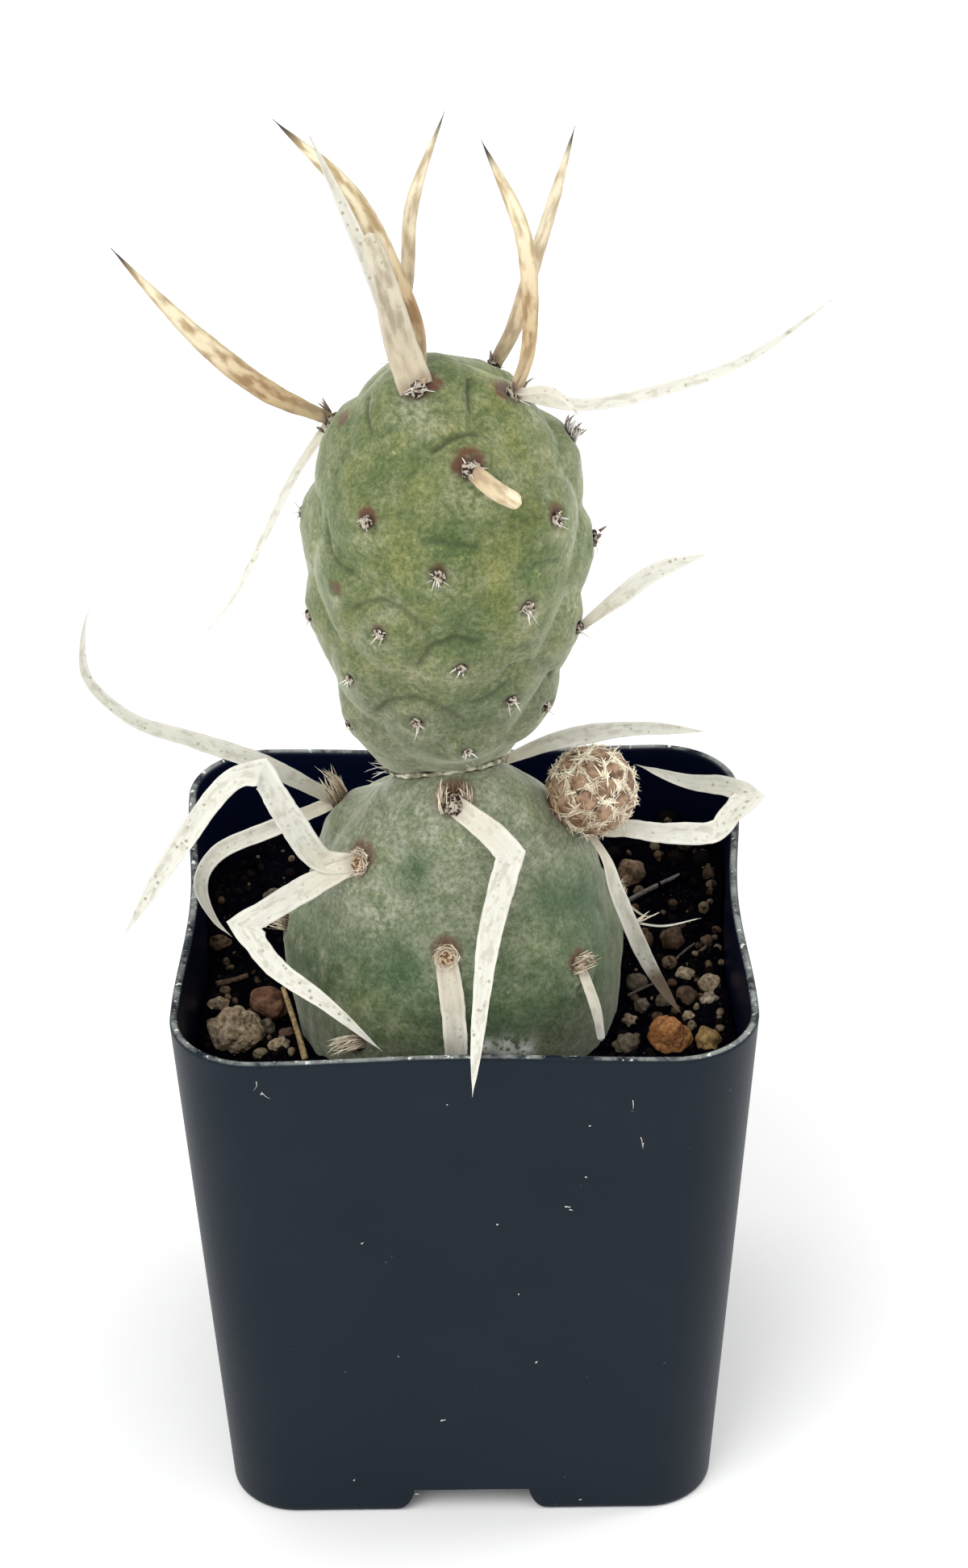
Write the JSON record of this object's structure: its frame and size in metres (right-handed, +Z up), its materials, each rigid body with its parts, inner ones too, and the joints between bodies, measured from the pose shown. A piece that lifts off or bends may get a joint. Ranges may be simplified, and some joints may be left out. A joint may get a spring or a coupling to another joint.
{
  "type": "potted paper spine cactus",
  "caption": "Young paper spine cactus with stacked stem segments and flat papery ribbon spines, in a small square black plastic nursery pot of gritty soil.",
  "frame": {"origin": "middle of the pot's base, on the surface that it stands on, below the middle of the whole outline", "axes": "+Z up, +X to the right and -Y towards the front as the picture shows it"},
  "size_m": [0.0805, 0.0707, 0.1641],
  "materials": {
    "pot_plastic": "satin black, faintly blue, scuffed at the rim",
    "soil_mix": "damp, crumbly, near-black",
    "upper_skin": "waxy olive green with fine pale speckle",
    "lower_skin": "waxy grey-green with a pale bloom",
    "offset_tubercles": "dry brown tubercles with straw hairs",
    "ribbon_spines": "dry papery white to tan, grey specks",
    "pumice": "porous cream",
    "coloured_lumps": "fired clay, orange to red-brown",
    "grit": "dull grey-brown",
    "twigs": "dry, weathered"
  },
  "bodies": {
    "root": {"pot": "pot_plastic", "pumice_big": "pumice", "pumice_red": "coloured_lumps", "grit_grey": "grit", "grit_left_brown": "grit", "pumice_left_small": "pumice", "pumice_left_front": "pumice", "lump_orange": "coloured_lumps", "lump_yellow": "coloured_lumps", "pumice_right_cream": "pumice", "pumice_right_white": "pumice", "pumice_right_flat": "pumice", "grit_right_grey": "grit", "lump_right_brown": "coloured_lumps", "grit_right_near": "grit", "grit_right_dim": "grit", "grit_right_wall": "grit", "grit_back_right": "grit", "pumice_back": "pumice", "grit_back_left": "grit", "lump_back_brown": "coloured_lumps", "grit_right_behind": "grit", "grit_right_round": "grit", "pumice_right_round": "pumice", "grit_right_dark": "grit", "grit_right_middle": "grit", "pumice_right_small": "pumice", "twig_left": "twigs", "straw_left": "twigs", "twig_right": "twigs", "twig_right_back": "twigs", "soil": "soil_mix", "spray_upper_left_shoulder": "ribbon_spines", "spray_upper_top_front": "ribbon_spines", "spray_upper_top_back": "ribbon_spines", "spray_upper_right_front": "ribbon_spines", "spray_upper_right_back": "ribbon_spines", "spray_upper_front_broken": "ribbon_spines", "spray_upper_right_low": "ribbon_spines", "spray_upper_right_edge": "ribbon_spines", "spray_upper_far_1": "ribbon_spines", "spray_upper_far_2": "ribbon_spines", "spray_upper_far_3": "ribbon_spines", "spray_lower_left_shoulder": "ribbon_spines", "spray_lower_left_front": "ribbon_spines", "spray_lower_centre_front": "ribbon_spines", "spray_lower_front": "ribbon_spines", "spray_lower_right_front": "ribbon_spines", "spray_lower_left_tuft": "ribbon_spines", "spray_lower_left_edge": "ribbon_spines", "spray_lower_right_edge": "ribbon_spines", "spray_under_ball": "ribbon_spines", "spray_lower_right_back": "ribbon_spines", "spray_lower_far_1": "ribbon_spines", "spray_lower_far_2": "ribbon_spines", "spray_lower_far_3": "ribbon_spines", "upper_segment": "upper_skin", "lower_segment": "lower_skin", "young_offset": "offset_tubercles"}
  },
  "joints": []
}
